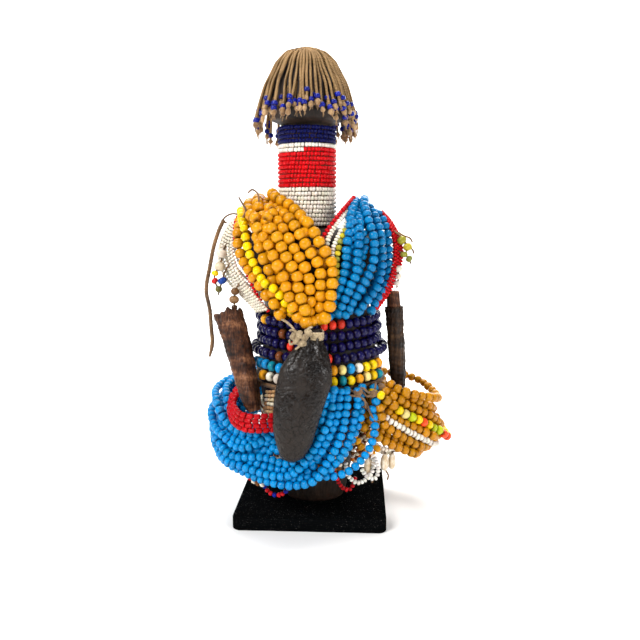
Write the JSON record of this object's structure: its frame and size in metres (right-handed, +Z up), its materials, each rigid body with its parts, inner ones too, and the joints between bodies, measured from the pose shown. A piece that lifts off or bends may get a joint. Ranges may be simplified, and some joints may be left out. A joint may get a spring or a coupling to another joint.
{
  "type": "beaded doll",
  "caption": "Carved wooden doll on a square black stand, dressed in strands of glass beads, with a cord wig, a bead belt, horns and a leather amulet.",
  "frame": {"origin": "centre of the plinth's underside", "axes": "+Z up through the figure, the figure faces -Y, +X towards the figure's own left side"},
  "size_m": [0.1819, 0.1327, 0.3288],
  "materials": {
    "plinth": "black satin lacquer with fine dust",
    "figure_wood": "carved hardwood, dark with handling",
    "white_beads": "opaque cream-white seed beads on brown thread",
    "red_beads": "opaque red seed and tube beads",
    "navy_beads": "dark cobalt-blue glass beads, glossy",
    "blue_beads": "opaque sky-blue glass beads, glossy",
    "yellow_beads": "opaque golden-yellow glass beads, worn gloss",
    "wig_cord": "twisted tan plant-fibre cords with knots and blue beads",
    "brown_cord": "dark brown twisted fibre cord",
    "pale_cord": "pale fibre cord, knotted and frayed",
    "left_horn": "polished reddish-brown horn with a chipped rim",
    "right_horn": "dark brown horn",
    "amulet_leather": "dark crinkled leather rubbed shiny",
    "shell": "cream shell"
  },
  "bodies": {
    "root": {"plinth": "plinth", "wooden_figure": "figure_wood", "neck_beads_white_lower": "white_beads", "neck_beads_red": "red_beads", "neck_beads_white_upper": "white_beads", "neck_beads_blue": "navy_beads", "wig_of_cords": "wig_cord", "belt_navy_beads": "navy_beads", "belt_turquoise_row": "blue_beads", "belt_yellow_rows": "yellow_beads", "belt_white_row": "white_beads", "yellow_bandolier": "yellow_beads", "blue_bandolier": "blue_beads", "white_seed_bandolier": "white_beads", "red_seed_bandolier": "red_beads", "blue_hip_strands": "blue_beads", "yellow_hip_strands": "yellow_beads", "red_hip_strands": "red_beads", "back_hip_strands": "white_beads", "front_seed_strands": "white_beads", "blue_hip_loop": "blue_beads", "white_hip_loop": "white_beads", "red_hip_loop": "red_beads", "inner_fringe": "white_beads", "hip_tie_cord": "brown_cord", "left_horn": "left_horn", "right_horn": "right_horn", "right_horn_stopper": "brown_cord", "leather_amulet": "amulet_leather", "left_tassel_upper": "brown_cord", "left_tassel_lower": "brown_cord", "right_tassel_upper": "yellow_beads", "right_tassel_lower": "shell", "cowrie_shell_1": "shell", "cowrie_shell_2": "shell", "cowrie_shell_3": "shell", "amulet_knot": "pale_cord", "side_cord": "brown_cord"}
  },
  "joints": []
}
